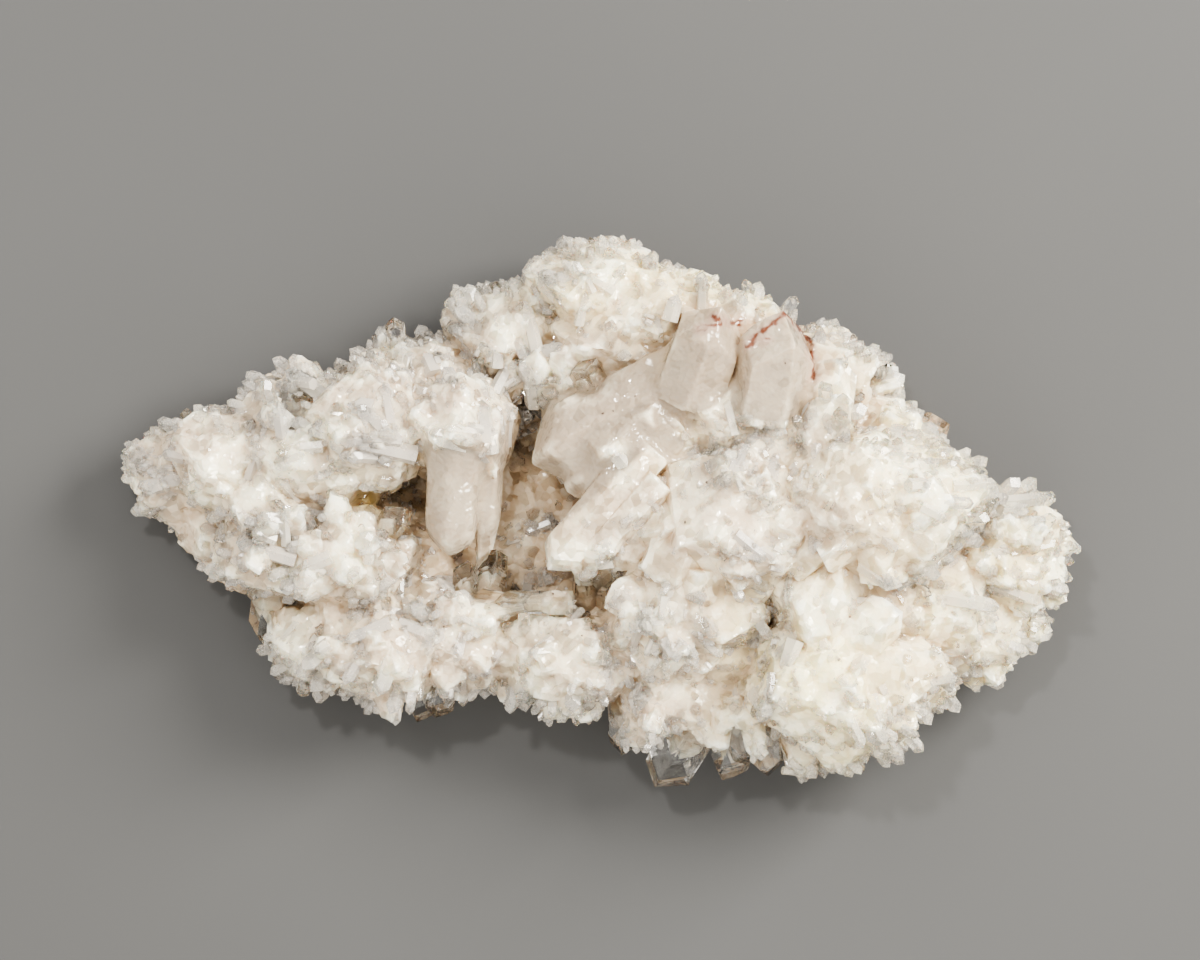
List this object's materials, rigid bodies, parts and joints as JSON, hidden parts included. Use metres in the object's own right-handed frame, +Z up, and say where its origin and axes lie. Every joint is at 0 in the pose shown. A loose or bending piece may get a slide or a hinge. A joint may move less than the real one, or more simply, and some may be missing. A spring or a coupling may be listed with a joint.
{
  "type": "quartz crystal cluster",
  "caption": "Intergrown cluster of milky to clear quartz crystals on a flat broken base, a hand-sized mineral specimen for display.",
  "frame": {"origin": "middle of the footprint box, on the flat broken base", "axes": "+X along the specimen towards its fan-shaped end, +Y across it towards its peaked side, +Z up out of the base"},
  "size_m": [0.121, 0.069, 0.0315],
  "materials": {
    "milky_quartz": "milky white massive quartz with glassy facets, warm beige in the hollows",
    "clear_quartz": "clear, polished by growth, with milky roots"
  },
  "bodies": {
    "root": {"quartz_cluster": "milky_quartz"}
  },
  "joints": []
}
